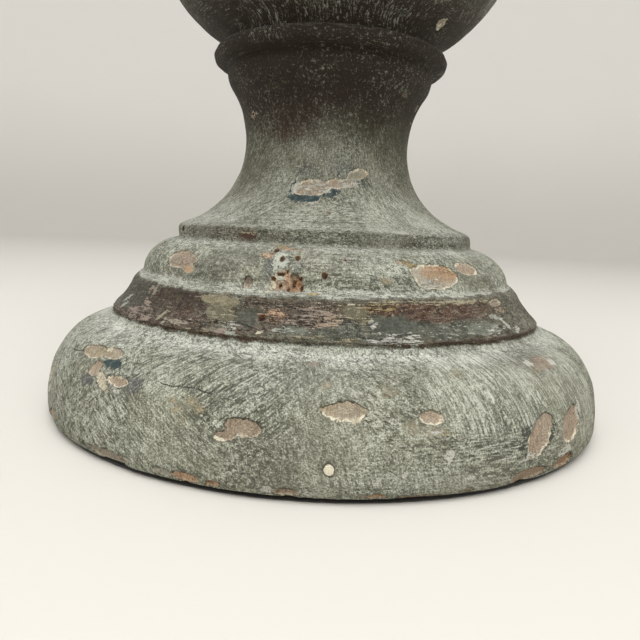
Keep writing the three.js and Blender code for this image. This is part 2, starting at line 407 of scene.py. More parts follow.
# smaller things on or in the paint: place, size, lean, tint and how whole the mark is
scabs = [
    ((-34.0, 22.9), (3.4, 1.0), 0, "white"),
    ((-10.9, 7.3), (2.0, 1.3), 0, "white"),
    ((18.9, 13.1), (2.8, 3.8), 0, "white", 0.85),
    ((12.2, 8.0), (1.1, 2.2), -30, "white"),
    ((8.1, 5.5), (1.1, 2.2), -30, "white"),
    ((42.2, 38.5), (4.2, 3.0), 0, "white", 0.9),
    ((46.0, 39.4), (9.0, 3.6), 0, "pinkTan", 0.45),
    ((49.9, 36.9), (4.8, 2.8), 10, "white", 0.8),
    ((40.4, 9.4), (5.0, 2.0), 0, "paleGrey"),
    ((44.0, 6.8), (8.6, 3.0), 10, "white", 0.9),
    ((50.1, 19.4), (2.6, 6.0), -10, "white"),
    ((-61.9, 11.0), (5.0, 2.0), 0, "white"),
    ((16.9, 19.6), (3.0, 1.1), 0, "white", 0.9),
    ((-42.9, 35.5), (2.4, 2.0), 0, "cream", 1.0),
    ((34.2, 9.0), (10.0, 1.5), 14, "white"),
    ((-37.2, 81.4), (3.4, 0.9), -50, "white", 1.0),
    ((-42.0, 78.4), (12.0, 3.4), 4, "greyTan", 0.4),
    ((-38.2, 75.6), (5.0, 2.8), 0, "peach", 0.55),
    ((-11.0, 80.8), (4.6, 13.0), 3, "haze", 0.85),
    ((-12.2, 73.0), (1.0, 5.6), -16, "cream", 0.85),
    ((-9.0, 75.6), (1.7, 4.6), 24, "peach", 0.9),
    ((-12.6, 90.8), (5.0, 2.4), 0, "yellow", 0.6),
    ((-10.6, 89.4), (3.0, 2.4), 0, "orangeWood", 0.6),
    ((-7.9, 88.3), (6.4, 1.3), 0, "peach", 0.6),
    ((-14.9, 84.0), (4.0, 2.2), 0, "peach", 0.65),
    ((5.8, 83.8), (3.2, 3.4), 0, "white", 0.6),
    ((12.0, 90.6), (7.6, 1.4), 0, "white", 0.7),
    ((28.0, 74.8), (10.0, 3.4), 4, "white", 0.5),
    ((32.0, 79.8), (9.0, 2.0), 0, "peach", 0.4),
    ((-2.4, 69.6), (3.0, 1.4), 0, "yellow", 0.5),
    ((-49.3, 65.0), (1.7, 3.6), -12, "pinkGrey", 1.0),
    ((-46.8, 65.0), (1.3, 3.4), -12, "pinkGrey", 1.0),
    ((-47.2, 59.6), (7.0, 1.9), -22, "pinkGrey", 0.95),
    ((-61.0, 58.6), (6.0, 1.6), 28, "paleGrey", 0.95),
    ((-59.0, 56.0), (5.0, 1.6), 24, "paleGrey", 0.95),
    ((-47.6, 54.6), (19.0, 6.4), -4, "pinkGrey", 0.42),
    ((-50.5, 55.2), (7.0, 1.4), -8, "pinkGrey", 0.8),
    ((-44.0, 53.4), (8.0, 1.4), 10, "pinkGrey", 0.8),
    ((-33.0, 54.6), (11.0, 1.6), 6, "greyTan", 0.6),
    ((-27.0, 53.0), (10.0, 1.5), -2, "oliveTan", 0.5),
    ((-22.0, 58.6), (14.0, 4.6), -6, "oliveStrip", 0.36),
    ((-9.0, 66.6), (16.0, 3.0), 0, "paleGrey", 0.26),
    ((-10.2, 61.2), (8.6, 4.4), 8, "orangePink", 0.5),
    ((-10.0, 62.2), (5.6, 1.9), 8, "peach", 0.6),
    ((-2.6, 60.6), (16.0, 6.8), 10, "pinkGrey", 0.58),
    ((0.6, 59.4), (11.0, 3.6), 12, "pinkTan", 0.52),
    ((-3.0, 54.2), (13.0, 2.2), 2, "oliveStrip", 0.45),
    ((6.0, 53.0), (12.0, 2.0), -2, "speckTan", 0.45),
    ((-7.6, 56.2), (7.6, 2.4), 4, "paleGrey", 0.55),
    ((-38.6, 56.2), (5.6, 1.5), 55, "oliveTan", 0.9),
    ((-21.2, 53.7), (3.6, 2.4), 0, "pinkGrey", 1.0),
    ((-18.8, 53.4), (3.2, 1.8), -10, "paleGrey", 0.9),
    ((-19.4, 56.6), (6.2, 2.0), -9, "white", 0.45),
    ((-13.0, 54.5), (2.6, 1.3), 0, "cream", 0.9),
    ((4.0, 65.2), (14.0, 3.4), -8, "cream", 0.3),
    ((7.2, 62.4), (9.0, 4.4), -14, "speckTan", 0.42),
    ((12.6, 65.6), (13.0, 3.4), 4, "ochre", 0.5),
    ((30.0, 67.4), (50.0, 1.1), 0, "speckTan", 0.7),
    ((10.5, 59.0), (2.2, 1.5), 20, "white", 0.8),
    ((11.4, 53.2), (11.0, 2.6), 0, "white", 0.5),
    ((16.6, 54.2), (14.0, 4.2), -4, "white", 0.52),
    ((26.0, 56.6), (16.0, 4.6), -3, "paleGrey", 0.34),
    ((36.0, 58.0), (16.0, 5.6), 12, "paleGrey", 0.36),
    ((42.0, 55.6), (12.0, 3.0), 10, "white", 0.4),
    ((49.0, 64.0), (9.0, 4.0), -12, "pinkTan", 0.5),
    ((47.6, 57.8), (5.6, 1.6), -60, "white", 0.9),
    ((51.0, 54.4), (5.0, 2.2), 20, "white", 0.7),
    ((44.4, 61.0), (5.8, 1.6), -14, "paleGrey", 0.8),
    ((-24.8, 97.4), (6.4, 1.6), 0, "speckTan", 0.5),
    ((-7.0, 126.4), (10.0, 5.0), 4, "white", 0.48),
    ((-15.4, 125.8), (1.4, 5.6), -8, "white", 0.8),
    ((2.2, 125.2), (3.4, 1.6), 30, "white", 0.8),
    ((-2.6, 127.6), (6.0, 3.0), 4, "white", 0.42),
    ((10.4, 128.8), (12.0, 3.6), 8, "white", 0.45),
    ((19.0, 132.6), (6.0, 3.4), 20, "paleGrey", 0.42),
    ((15.2, 129.2), (3.0, 3.6), 0, "white", 0.5),
    ((-9.0, 135.6), (9.0, 2.6), 0, "paleGrey", 0.3),
    ((-4.5, 118.4), (6.4, 2.4), 16, "white", 0.45),
    ((27.2, 100.3), (7.6, 2.2), -4, "white", 0.8),
    ((30.0, 95.0), (9.0, 7.0), -10, "white", 0.3),
    ((-55.6, 156.3), (5.4, 1.6), 6, "pinkTan", 0.7),
]
stains = [
    ((-38.8, 31.3), (9.0, 3.6), 0, "teal"),
    ((-42.8, 23.4), (5.6, 3.6), 30, "smudge", 0.6),
    ((-30.9, 26.4), (6.6, 5.0), 0, "smudge", 0.55),
    ((33.3, 17.0), (4.6, 3.0), 40, "tealGrey", 0.6),
    ((32.0, 12.8), (3.0, 2.2), 0, "tealGrey", 0.6),
    ((39.2, 13.6), (10.5, 1.9), 50, "tealGrey"),
    ((46.7, 37.6), (15.0, 6.2), 0, "pinkTan", 0.5),
    ((42.4, 35.4), (7.8, 1.8), 0, "oliveTan"),
    ((-19.4, 24.8), (4.0, 1.8), -20, "speckTan"),
    ((-17.8, 22.8), (3.0, 2.2), -10, "speckTan"),
    ((-21.6, 21.6), (2.6, 2.0), 30, "speckTan"),
    ((-20.2, 19.2), (1.8, 1.6), 0, "speckTan"),
    ((-22.6, 24.2), (2.0, 1.2), 0, "speckTan"),
    ((13.6, 20.6), (6.4, 3.0), -10, "speckTan", 0.35),
    ((16.6, 20.2), (6.4, 2.4), -10, "cream", 0.3),
    ((18.4, 19.4), (2.6, 1.8), 0, "speckTan"),
    ((10.4, 32.0), (4.6, 3.6), 0, "speckTan", 0.35),
    ((23.3, 38.2), (4.4, 3.4), 0, "ochre", 0.3),
    ((-1.6, 42.5), (3.6, 2.4), 0, "orangePink", 0.3),
    ((0.8, 33.8), (3.2, 1.8), 0, "oliveTan"),
    ((23.0, 82.0), (7.4, 2.0), -34, "ochre", 0.6),
    ((15.4, 75.2), (4.0, 2.0), 0, "oliveTan"),
    ((-24.6, 64.8), (16.0, 4.2), -2, "oliveStrip", 0.85),
    ((-23.0, 60.2), (13.0, 5.2), -6, "olive", 0.7),
    ((-16.0, 59.6), (8.4, 6.8), 0, "patchGrey", 0.8),
    ((-5.6, 56.2), (8.4, 3.4), 0, "greyGreen"),
    ((14.8, 59.4), (17.5, 6.4), 0, "tealGrey"),
    ((7.0, 62.8), (8.0, 4.6), -12, "olive"),
    ((38.4, 57.0), (15.0, 5.0), 0, "greyGreen", 0.6),
    ((-24.8, 96.0), (7.0, 2.8), 0, "redBrown"),
    ((-9.0, 121.2), (13.0, 5.4), -4, "teal", 1.0),
    ((-15.8, 125.0), (3.6, 7.4), 0, "teal", 0.9),
    ((3.0, 124.4), (7.4, 5.0), 0, "teal", 1.0),
    ((22.4, 129.2), (5.0, 4.8), 0, "tealGrey", 0.5),
]
pits = [
    ((-10.7, 82.5), (1.7, 3.0)),
    ((-10.6, 76.9), (2.6, 1.7)),
    ((-12.3, 75.0), (1.5, 1.8)),
    ((-7.2, 73.6), (1.6, 2.8)),
    ((-10.6, 72.6), (1.4, 1.8)),
    ((-8.6, 71.6), (1.6, 1.3)),
    ((-5.4, 75.0), (1.7, 1.6)),
    ((-8.8, 77.8), (1.2, 1.5)),
    ((-5.2, 72.0), (1.3, 1.9)),
    ((-13.1, 87.8), (1.9, 3.2)),
    ((-6.7, 83.6), (1.7, 2.3)),
    ((0.3, 76.8), (2.2, 2.5)),
    ((5.8, 83.8), (1.5, 1.6)),
    ((-13.3, 59.8), (2.6, 2.6)),
    ((-64.8, 97.2), (3.4, 2.6)),
    ((50.1, 165.8), (1.9, 1.2)),
    ((2.7, 113.2), (1.6, 1.9)),
    ((48.9, 17.0), (1.8, 1.2)),
    ((-68.0, 87.0), (9.0, 2.6)),
    ((-73.0, 82.6), (9.0, 2.8)),
    ((-75.0, 77.6), (9.0, 2.6)),
    ((-62.5, 7.4), (2.6, 1.4)),
    ((-57.6, 1.4), (2.0, 1.6)),
]
cracks = [
    ((-25.8, 28.7), (-22.8, 28.4), (-20.4, 28.9), (-16.8, 28.1)),
    ((-54.6, 30.2), (-50.0, 31.4)),
    ((-62.0, 153.4), (-55.5, 156.0)),
    ((7.0, 55.2), (19.0, 51.9)),
    ((35.0, 66.0), (52.0, 66.6)),
    ((-30.0, 56.0), (-18.0, 57.6), (-12.0, 55.4)),
    ((-16.0, 64.4), (-9.0, 65.0), (-2.0, 63.0)),
    ((-6.0, 57.8), (4.0, 60.6), (11.0, 60.2)),
]
# darker coats brushed along the band: degrees round, lowest and highest mm up
coats = (
    ("bandGrey", (
        (-181, 51.5, 70.6), (-72, 51.5, 69.6), (-50, 51.5, 67.9), (-30, 51.5, 66.9), (-15, 51.5, 67.4),
        (0, 51.5, 68.0), (15, 51.5, 68.8), (40, 51.5, 69.8), (181, 51.5, 70.6),
    )),
    ("bandOlive", ((-100, 51.0, 70.6), (-60, 51.0, 68.4), (-46, 51.0, 67.6), (-40, 55.0, 64.0))),
    ("bandBrown", (
        (-62, 51.0, 52.5), (-52, 51.0, 56.0), (-47, 51.0, 63.0), (-43, 51.0, 67.4), (-34, 51.0, 66.9),
        (-27, 51.5, 66.5), (-22, 57.5, 63.0), (-17.5, 60.0, 61.0),
    )),
    ("bandPurple", (
        (-17.6, 53.5, 66.8), (-9, 55.5, 67.0), (0, 58.0, 66.9), (8, 61.0, 65.8), (11, 62.0, 64.0),
    )),
    ("bandTeal", (
        (-4, 53.0, 56.0), (2, 53.5, 60.0), (9, 54.0, 62.6), (22, 54.0, 61.6), (36, 54.0, 59.0),
    )),
    ("bandRed", (
        (9, 65.0, 66.6), (13, 62.4, 67.2), (26, 60.6, 67.4), (40, 60.6, 67.4), (47, 62.5, 67.0),
    )),
    # a dark brown line in the crease under the foot's nose: brown paint and painted shade under the
    # overhang
    ("creaseBrownAndShade", ((-70, 50.9, 53.4), (-30, 50.9, 53.0), (-14, 51.1, 52.2), (-9, 51.3, 51.6))),
    ("creaseBrownAndShade", ((13, 51.1, 51.6), (20, 50.9, 53.0), (48, 50.9, 53.4), (64, 50.9, 53.0))),
    ("bandBrown", ((100, 52.0, 69.0), (118, 51.5, 70.5), (150, 51.5, 70.5), (156, 57.0, 66.0))),
    ("bandRed", ((-170, 60.0, 67.0), (-150, 58.0, 68.0), (-128, 59.0, 67.0))),
)
# soft washes of colour: middle, size, tint, strength
washes = (
    ((-27, 157), (44, 28), "redBrown", 0.85),
    ((34, 156), (40, 34), "oliveDark", 0.6),
    ((-52, 142), (22, 50), "oliveDark", 0.3),
    ((58, 138), (26, 50), "oliveDark", 0.45),
    ((4, 149), (26, 13), "paleGrey", 0.22),
    ((-8.8, 133), (13, 8), "smudge", 0.65),
    ((9.5, 135), (13, 8), "smudge", 0.65),
    ((-21, 22), (14, 13), "oliveTan", 0.2),
    ((15, 19.5), (15, 8), "oliveTan", 0.2),
    # these two grey washes are partly painted shade, toning down the front of the foot where the key
    # light falls brightest
    ((-4, 36), (52, 20), "greyPatch", 0.5),
    ((42, 42), (44, 18), "greyPatch", 0.55),
    ((50, 22), (30, 22), "greyPatch", 0.3),
    ((-8, 14), (50, 16), "greyPatch", 0.3),
    ((-13.6, 77.5), (5.5, 11), "smudge", 0.6),
    ((-6.4, 80.5), (4.4, 7), "smudge", 0.5),
    ((-34, 75.5), (34, 10), "greyPatch", 0.7),
    ((-24, 82), (30, 12), "greyPatch", 0.55),
    ((-40, 97), (50, 7), "redBrown", 0.4),
    ((44, 60.5), (24, 11), "oliveDark", 0.4),
    ((-62, 82), (20, 16), "greyPatch", 0.35),
    ((22, 75), (40, 7), "tealGrey", 0.4),
    ((44, 10), (30, 16), "oliveTan", 0.15),
    ((36, 17), (14, 12), "smudge", 0.35),
    ((-36, 26), (28, 14), "smudge", 0.2),
    ((-32, 57), (16, 10), "bandRed", 0.4),
    ((26, 57), (28, 6), "greyGreen", 0.35),
    ((0, 4), (90, 8), "greyPatch", 0.25),
    ((-24.8, 95.5), (12, 5), "redBrown", 0.5),
    ((150, 30), (60, 26), "oliveTan", 0.25),
    ((-120, 84), (50, 22), "tealGrey", 0.35),
)
# spots where more chalk clings: middle, size, strength
chalkSpots = (
    ((-64, 26), (44, 60), 0.55),
    ((-48, 41), (46, 14), 0.6),
    ((-52, 108), (40, 30), 0.7),
    ((-44, 83), (26, 12), 0.2),
    ((54, 106), (30, 24), 0.5),
    ((12, 82), (38, 16), 0.3),
    ((56, 82), (26, 20), 0.35),
    ((28, 14), (34, 16), 0.25),
    ((18, 6), (40, 8), 0.3),
    ((0, 145), (24, 16), 0.3),
)
# brush work: middle, size, and weights for steep falling, rising, level and slant falling strokes
brushWork = [
    ((30, 32), (46, 24), (1, 0, 0, 0)),
    ((52, 26), (30, 30), (1, 0, 0, 0)),
    ((-22, 34), (34, 18), (0, 1, 0, 0)),
    ((-8, 27), (30, 16), (0, 0.8, 0, 0)),
    ((-50, 36), (34, 16), (0, 0.5, 0, 0)),
    ((-27, 11), (44, 20), (0, 0, 0, 1)),
    ((-58, 17), (40, 24), (0, 0, 0, 0.9)),
    ((0, 12), (24, 12), (0, 0, 0.3, 0.4)),
    ((20, 9), (58, 17), (0, 0, 1, 0)),
    ((40, 5), (50, 12), (0, 0, 0.8, 0)),
    ((-24, 82), (40, 20), (0, 0.7, 0, 0)),
    ((10, 80), (40, 16), (0, 0, 0.6, 0)),
    ((52, 84), (30, 18), (0, 0, 0, 0.6)),
    ((-34, 122), (40, 44), (0, 1, 0, 0)),
    ((0, 108), (46, 12), (0, 0, 0.8, 0)),
    ((38, 128), (26, 40), (0.7, 0, 0, 0.5)),
    ((0, 150), (30, 24), (0, 0.2, 0.3, 0.2)),
    ((0, 61), (330, 20), (0, 0, 0.7, 0.2)),
]
# lines that follow the mouldings, pale with chalk and painted highlight on lips and shoulders, dark with
# dirt and painted shade in hollows and under mouldings: mm up, half width, chalk and highlight, dirt and
# shade
courses = [
    (46.8, 4.6, 1.1, 0.0),
    (51.3, 1.0, 0.0, 0.6),
    (60.0, 8.5, 0.0, 0.35),
    (69.7, 2.5, 1.0, 0.0),
    (90.6, 3.6, 0.8, 0.0),
    (98.2, 1.3, 0.0, 0.65),
    (95.0, 3.4, 0.0, 0.5),
    (101.0, 1.6, 0.5, 0.0),
    (112.0, 10.0, 0.25, 0.0),
    (148.0, 24.0, 0.0, 0.6),
    (180.0, 22.0, 0.0, 1.0),
    (187.0, 3.0, 0.3, 0.0),
    (345.0, 16.0, 0.35, 0.0),
    (365.0, 4.0, 0.0, 0.8),
    (377.0, 6.0, 0.4, 0.0),
    (414.0, 8.0, 0.0, 0.5),
    (433.0, 4.0, 0.0, 0.6),
]


def scatterChips(seed, count, fromUp, toUp, largest, tints, clear=78, level=1.0):
    # plainer chips for the sides that no view has shown
    draw = np.random.default_rng(seed)
    found = []
    for _ in range(count):
        side = clear + (360 - 2 * clear) * draw.random()
        place = (side, fromUp + (toUp - fromUp) * draw.random())
        wide = largest * (0.45 + 0.55 * draw.random())
        size = (wide, wide * (0.32 + 0.3 * draw.random()))
        lean = draw.uniform(-35, 35) * level
        tint = tints[int(draw.integers(len(tints)))]
        found.append(chip(place, size, lean, tint, draw.uniform(0.5, 1), draw.uniform(0, 0.8)))
    return found


hiddenChips = (
    scatterChips(21, 12, 8, 44, 15, ("tan", "pinkTan", "brownTan"))
    + scatterChips(22, 14, 1, 3, 12, ("greyTan", "peach", "rust", "pinkTan"), level=0.1)
    + scatterChips(23, 6, 73, 88, 15, ("pinkTan", "greyTan"), level=0.4)
    + scatterChips(24, 3, 108, 160, 11, ("pinkTan", "oliveTan"))
    + scatterChips(25, 14, 205, 350, 15, ("tan", "pinkTan", "greyTan"), clear=0)
    + scatterChips(26, 5, 368, 400, 9, ("tan", "greyTan"), clear=0, level=0.3)
    + scatterChips(27, 8, 440, 720, 9, ("tan", "pinkTan"), clear=0, level=2.0)
    + scatterChips(28, 3, 756, 800, 8, ("tan", "pinkTan"), clear=0)
)

count = len(up)
farOff = marking["farOff"]
edgeNames = ("chipEdge", "stainEdge", "scabEdge", "pitEdge", "coatEdge")
fields = {name: np.full(count, farOff) for name in edgeNames}
fields["crackSide"] = np.full(count, -farOff)
for name in ("chipHigh", "chalkAndHighlight", "dirtAndShade"):
    fields[name] = np.zeros(count)
for name in ("washTint", "brushWork"):
    fields[name] = np.zeros((count, 4))
firstTints = {"chipTint": "tan", "stainTint": "olive", "scabTint": "white", "coatTint": "bandGrey"}
for name, tint in firstTints.items():
    fields[name] = np.tile(paint(tint), (count, 1))
# the neck darkens towards its top and under the ledge: soot and painted shade from the urn above
fields["sootAndShade"] = rise(up, 139, 162) * (1 - rise(up, 206, 250))
lift = np.zeros(count)  # mm outwards
relief = {
    "scabRaised": 0.14,  # mm
    "crackDeep": 0.3,
    "swell": 0.18,
    "lumps": 0.15,
    "grit": 0.07,
    "sink": 0.42,        # taken off everywhere, which keeps the swell within the turned shape
    "pitDeep": 0.5,      # share of a pit's width
}


def cutChips(chips):
    for number, mark in enumerate(chips):
        draw = marking["chipDraw"] + number
        depth = inside(mark["where"], mark["size"], mark["lean"], marking["chipWobble"], draw)
        wins = (depth > 0) | (depth > fields["chipEdge"])
        across, rising = around(mark["where"])
        high = np.clip(rising / (0.5 * min(mark["size"])), -1, 1) * (1 - mark["ring"]) - mark["ring"]
        fields["chipHigh"][wins] = high[wins]
        tint = np.array(paint(mark["tint"]))
        tint[3] = mark["rim"]
        fields["chipTint"][wins] = tint
        fields["chipEdge"] = np.maximum(fields["chipEdge"], depth)
        lift[:] = np.minimum(lift, -mark["depth"] * rise(depth, -0.35, 0.75))


def layPatches(marks, edgeName, tintName, wobble, raised):
    # a mark's last number is how whole it is, 1 unbroken
    for number, (where, size, lean, tint, *whole) in enumerate(marks):
        depth = inside(where, size, lean, wobble, marking["patchDraw"] + number)
        wins = (depth > -0.3) | (depth > fields[edgeName])
        fields[tintName][wins] = (*paint(tint)[:3], whole[0] if whole else marking["usualWhole"])
        fields[edgeName] = np.maximum(fields[edgeName], depth)
        lift[:] += raised * rise(depth, -0.3, 0.7)


def borePits(marks):
    for number, (where, size) in enumerate(marks):
        depth = inside(where, size, 0, marking["pitWobble"], marking["pitDraw"] + number)
        fields["pitEdge"] = np.maximum(fields["pitEdge"], depth)
        lift[:] -= relief["pitDeep"] * min(size) * rise(depth, -0.5, 0.45 * min(size))


def scoreCracks(lines):
    swerve = 0.5 * wander(sweep, 3.0, 31)
    for line in lines:
        for start, end in zip(line, line[1:]):
            across, rising = around(start)
            scale = math.radians(1) * np.interp(start[1], lineUp, lineRadius)
            alongX, alongY = (end[0] - start[0]) * scale, end[1] - start[1]
            length = math.hypot(alongX, alongY)
            along = (across * alongX + rising * alongY) / length
            side = (rising * alongX - across * alongY) / length
            past = np.maximum(0, np.maximum(-along, along - length))
            signed = np.where(side + swerve >= 0, 1, -1) * (np.abs(side + swerve) + past)
            closer = np.abs(signed) < np.abs(fields["crackSide"])
            fields["crackSide"][closer] = signed[closer]
    lift[:] -= relief["crackDeep"] * rise(-np.abs(fields["crackSide"]), -0.7, 0.0)


layPatches(stains, "stainEdge", "stainTint", marking["stainWobble"], 0.0)
layPatches(scabs, "scabEdge", "scabTint", marking["scabWobble"], relief["scabRaised"])
cutChips(footChips + rimBites + torusChips + bandChips + neckChips + hiddenChips)
borePits(pits)
scoreCracks(cracks)
ragged = 0.7 * wander(sweep, 5.0, 33) + 0.5 * wander(sweep, 2.0, 34)
for name, limits in coats:
    sides, lows, highs = zip(*limits)
    perDegree = math.radians(1) * np.interp(lows[0], lineUp, lineRadius)
    edge = np.minimum(up - np.interp(degrees, sides, lows), np.interp(degrees, sides, highs) - up)
    edge = np.minimum(edge, perDegree * np.minimum(degrees - sides[0], sides[-1] - degrees))
    edge = edge + ragged
    fields["coatTint"][edge > -0.3] = paint(name)
    fields["coatEdge"] = np.maximum(fields["coatEdge"], edge)
soften = 0.25  # how uneven the edges of washes and chalk are
uneven = soften * wander(sweep, 4.0, 35)
for where, size, name, strength in washes:
    share = strength * rise(1.15 - nearness(where, size) + uneven, 0.0, 0.7)
    wash = fields["washTint"]
    total = share + wash[:, 3] * (1 - share)
    tint = np.array(paint(name)[:3])
    keep = np.maximum(total, 1e-6)[:, None]
    wash[:, :3] = (tint * share[:, None] + wash[:, :3] * (wash[:, 3] * (1 - share))[:, None]) / keep
    wash[:, 3] = total
for middle, half, chalkAndHighlight, dirtAndShade in courses:
    swell = np.exp(-((up - middle) / half) ** 2)
    fields["chalkAndHighlight"] = np.maximum(fields["chalkAndHighlight"], chalkAndHighlight * swell)
    fields["dirtAndShade"] = np.maximum(fields["dirtAndShade"], dirtAndShade * swell)
uneven = soften * wander(sweep, 5.0, 36)
for where, size, strength in chalkSpots:
    clings = strength * rise(1.2 - nearness(where, size) + uneven, 0.0, 0.6)
    fields["chalkAndHighlight"] = np.maximum(fields["chalkAndHighlight"], clings)
# loose patches of each stroke all over, then the brush work that shows in front
unseen = np.maximum(rise(np.abs(degrees), 66, 82), rise(up, 165, 185))
for number in range(4):
    patch = rise(wander(sweep, 26.0, 41 + number), 0.05, 0.35)
    fields["brushWork"][:, number] = patch * np.maximum(unseen, 0.45)
feather = 8  # mm that each patch of brush work fades out over
for where, size, weights in brushWork:
    swell = np.clip(1.25 - nearness(where, (size[0] + feather, size[1] + feather)), 0, 1)
    for number in range(4):
        strong = weights[number] * rise(swell, 0.1, 0.45)
        fields["brushWork"][:, number] = np.maximum(fields["brushWork"][:, number], strong)
print("wear laid out:", len(hiddenChips), "hidden chips,", len(scabs), "scabs,", len(stains), "stains")

# the swell of the wood and its brushed ground, then a round bead of filler low on the foot
filler = {"at": (1.6, 9.6), "size": (3.1, 3.4), "lean": 20, "wobble": 0.16, "high": 0.75, "round": 1.4}
lift += relief["swell"] * wander(sweep, 34.0, 51)
lift += relief["lumps"] * wander(sweep, 6.5, 52)
lift += relief["grit"] * wander(sweep * np.array([1, 1, 0.8]), 2.4, 53)
lift -= relief["sink"]
bead = inside(filler["at"], filler["size"], filler["lean"], filler["wobble"], 7)
lift += filler["high"] * np.sqrt(np.clip(bead / filler["round"], 0, 1))
fields["beadEdge"] = bead
lift *= rise(up, -3, 1.0)  # the underside stays flat on the felt
lift *= np.clip(radius / 3, 0, 1)  # and the relief fades out at the axis

shiftX = -turning["runOut"] * rise(height, turning["runOutFrom"], turning["runOutTo"])
puffed = np.minimum(radius + lift * outR, lineRadius.max() - 0.03)
points = np.stack(
    [
        puffed * np.sin(theta) + shiftX,
        -puffed * np.cos(theta),
        np.maximum(height + lift * outZ, lineHeight.min()),
    ],
    axis=1,
)


def buildPiece(name, coords, faces):
    mesh = bpy.data.meshes.new(name)
    mesh.from_pydata((coords * mm).tolist(), [], faces)
    mesh.shade_smooth()
    piece = bpy.data.objects.new(name, mesh)
    bpy.context.scene.collection.objects.link(piece)
    return piece


def ringFaces(rings, columns):
    # a fan round point 0, then quads from each ring to the next
    faces = [(0, 1 + (j + 1) % columns, 1 + j) for j in range(columns)]
    for ring in range(rings - 1):
        a, b = 1 + ring * columns, 1 + (ring + 1) * columns
        faces += [(a + j, a + (j + 1) % columns, b + (j + 1) % columns, b + j) for j in range(columns)]
    return faces


spire = buildPiece("paintedSpire", points, skinFaces)
kinds = {1: ("FLOAT", "value"), 3: ("FLOAT_VECTOR", "vector"), 4: ("FLOAT_COLOR", "color")}
fields["sweep"] = sweep
for name, values in fields.items():
    kind, slot = kinds[1 if values.ndim == 1 else values.shape[1]]
    attribute = spire.data.attributes.new(name, kind, "POINT")
    attribute.data.foreach_set(slot, values.astype(np.float32).ravel())
print("spire skinned:", len(spire.data.polygons), "faces")


# flat map of the skin, with most room for the front of the foot:
# mm up from, mm up to, front half or back or both, bottom and top in the map
layout = (
    (0.0, 101.6, "front", 0.004, 0.350),
    (0.0, 101.6, "back", 0.356, 0.580),
    (101.6, 181.0, "both", 0.586, 0.730),
    (181.0, 434.0, "both", 0.736, 0.900),
    (434.0, 900.0, "both", 0.906, 0.960),
    (-200.0, 0.0, "both", 0.966, 0.996),
)
sideGap = 0.003  # share of the map left free at each side
mesh = spire.data
cornerPoint = np.zeros(len(mesh.loops), int)
mesh.loops.foreach_get("vertex_index", cornerPoint)
faceStart = np.zeros(len(mesh.polygons), int)
mesh.polygons.foreach_get("loop_start", faceStart)
faceSize = np.zeros(len(mesh.polygons), int)
mesh.polygons.foreach_get("loop_total", faceSize)
owner = np.repeat(np.arange(len(mesh.polygons)), faceSize)
cornerUp = up[cornerPoint]
faceUp = np.add.reduceat(cornerUp, faceStart) / faceSize
cornerTurn = turn[cornerPoint].copy()
isPole = (cornerPoint == 0) | (cornerPoint == len(up) - 1)
firstTurn = cornerTurn[faceStart][owner]
secondTurn = cornerTurn[faceStart + 1][owner]
firstTurn = np.where(isPole[faceStart][owner], secondTurn, firstTurn)
cornerTurn = np.where(isPole, firstTurn, cornerTurn)
cornerTurn += 2 * math.pi * np.round((firstTurn - cornerTurn) / (2 * math.pi))
faceTurn = np.add.reduceat(cornerTurn, faceStart) / faceSize
faceTurn = (faceTurn + math.pi) % (2 * math.pi) - math.pi
cornerTurn += 2 * math.pi * np.round((faceTurn[owner] - cornerTurn) / (2 * math.pi))
uv = np.zeros((len(cornerPoint), 2))
for low, high, half, bottom, top in layout:
    mine = (faceUp >= low) & (faceUp < high)
    if half == "front":
        mine &= np.abs(faceTurn) < math.pi / 2
    if half == "back":
        mine &= np.abs(faceTurn) >= math.pi / 2
    here = mine[owner]
    if half == "front":
        share = cornerTurn[here] / math.pi + 0.5
    elif half == "back":
        share = (cornerTurn[here] % (2 * math.pi)) / math.pi - 0.5
    else:
        share = cornerTurn[here] / (2 * math.pi) + 0.5
    lowest, highest = max(low, up[0]), min(high, up[-1])
    climb = (np.clip(cornerUp[here], low, high) - lowest) / (highest - lowest)
    across = sideGap + (1 - 2 * sideGap) * share
    uv[here] = np.stack([across, bottom + (top - bottom) * climb], axis=1)
flatMap = mesh.uv_layers.new(name="OFBake")
flatMap.data.foreach_set("uv", uv.astype(np.float32).ravel())


def feed(tree, socket, value):
    if isinstance(value, bpy.types.NodeSocket):
        tree.links.new(value, socket)
    else:
        socket.default_value = value


def calc(tree, operation, a, b=0.0, c=0.0):
    made = tree.nodes.new("ShaderNodeMath")
    made.operation = operation
    for socket, value in zip(made.inputs, (a, b, c)):
        feed(tree, socket, value)
    return made.outputs[0]


def ramp(tree, value, low, high, toLow=0.0, toHigh=1.0):
    made = tree.nodes.new("ShaderNodeMapRange")
    made.interpolation_type = "SMOOTHSTEP"
    for socket, number in zip(made.inputs, (value, low, high, toLow, toHigh)):
        feed(tree, socket, number)
    return made.outputs[0]


def coat(tree, mask, under, over, blend="MIX"):
    made = tree.nodes.new("ShaderNodeMix")
    made.data_type = "RGBA"
    made.blend_type = blend
    feed(tree, made.inputs[0], mask)
    feed(tree, made.inputs[6], under)
    feed(tree, made.inputs[7], over)
    return made.outputs[2]


def thinCoat(tree, mask, cover, under, over, blend="MIX"):
    return coat(tree, calc(tree, "MULTIPLY", mask, cover), under, over, blend)


def speckle(tree, place, size, detail=2.0, rough=0.55, seed=0.0):
    made = tree.nodes.new("ShaderNodeTexNoise")
    made.noise_dimensions = "4D"
    feed(tree, made.inputs["Vector"], place)
    made.inputs["W"].default_value = seed
    made.inputs["Scale"].default_value = 1 / size
    made.inputs["Detail"].default_value = detail
    made.inputs["Roughness"].default_value = rough
    return made.outputs["Fac"]


def field(tree, name):
    made = tree.nodes.new("ShaderNodeAttribute")
    made.attribute_name = name
    return made.outputs


